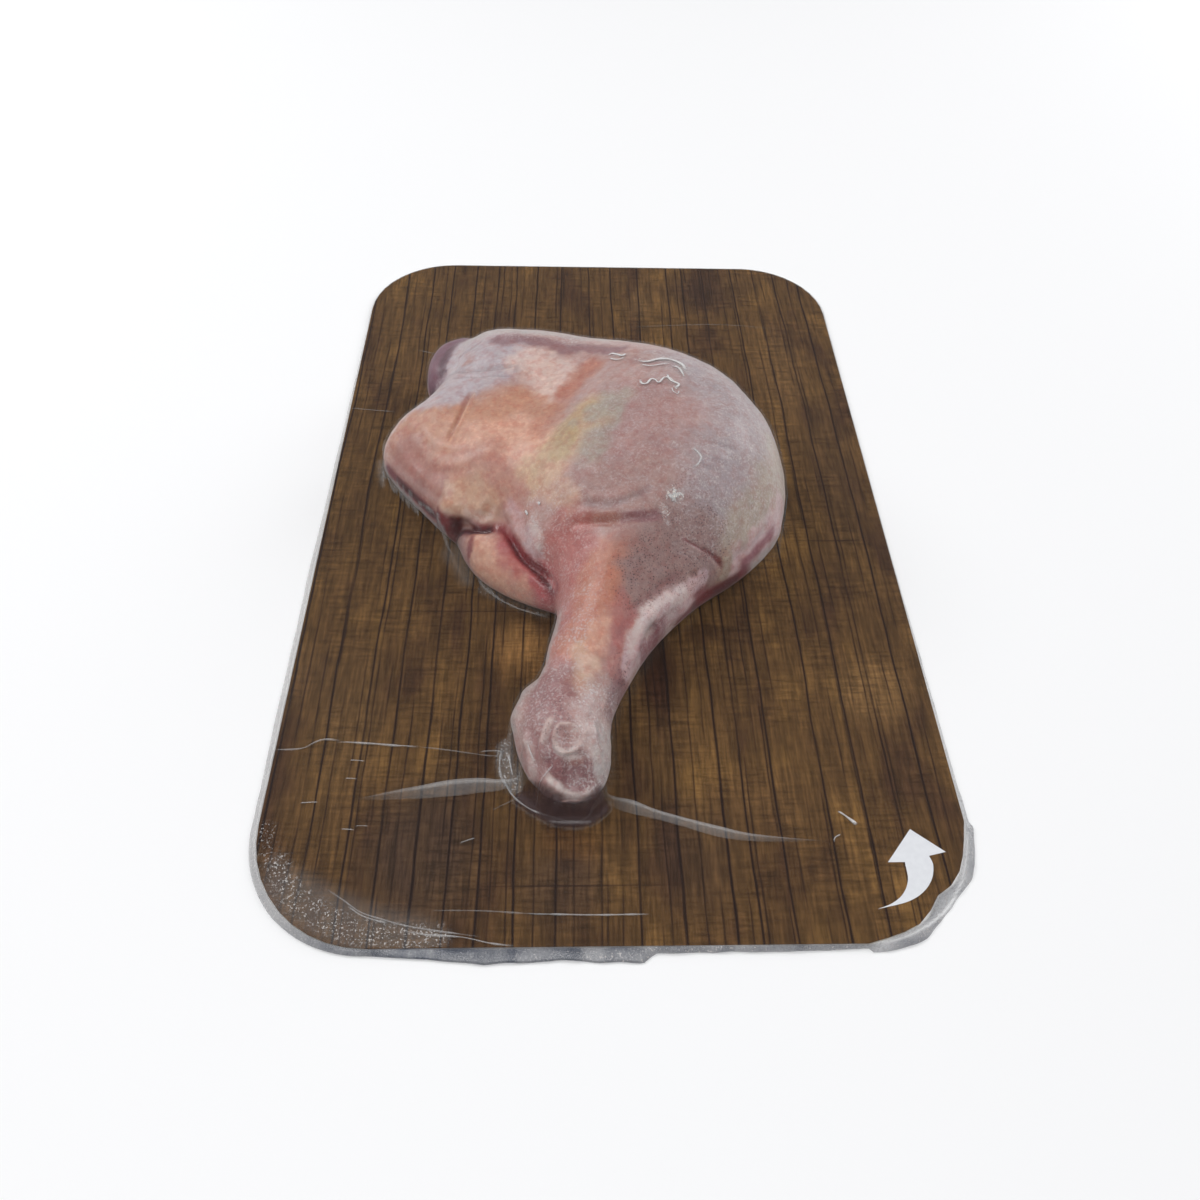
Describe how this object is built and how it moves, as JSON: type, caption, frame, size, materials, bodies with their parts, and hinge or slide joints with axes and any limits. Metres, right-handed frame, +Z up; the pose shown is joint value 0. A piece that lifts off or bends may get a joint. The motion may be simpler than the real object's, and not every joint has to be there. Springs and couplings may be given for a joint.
{
  "type": "skin-packed raw duck leg",
  "caption": "Raw duck leg lying on a rounded printed card and sealed to it by clear skin film that clings to the meat and overhangs the card's edge.",
  "frame": {"origin": "middle of the card's underside, where the pack rests", "axes": "+Z up from the card, +Y along the card's length from the leg's ankle to its thigh, +X to the right of a viewer who looks along +Y"},
  "size_m": [0.1644, 0.254, 0.0403],
  "materials": {
    "printed_card": "laminated card printed with dark wood slats",
    "duck_skin": "raw poultry skin, moist and lightly frosted, pink with mauve and yellow fat",
    "clear_film": "clear glossy skin-pack film with creases"
  },
  "bodies": {
    "root": {"backing_card": "printed_card", "duck_leg": "duck_skin", "skin_film": "clear_film"}
  },
  "joints": []
}
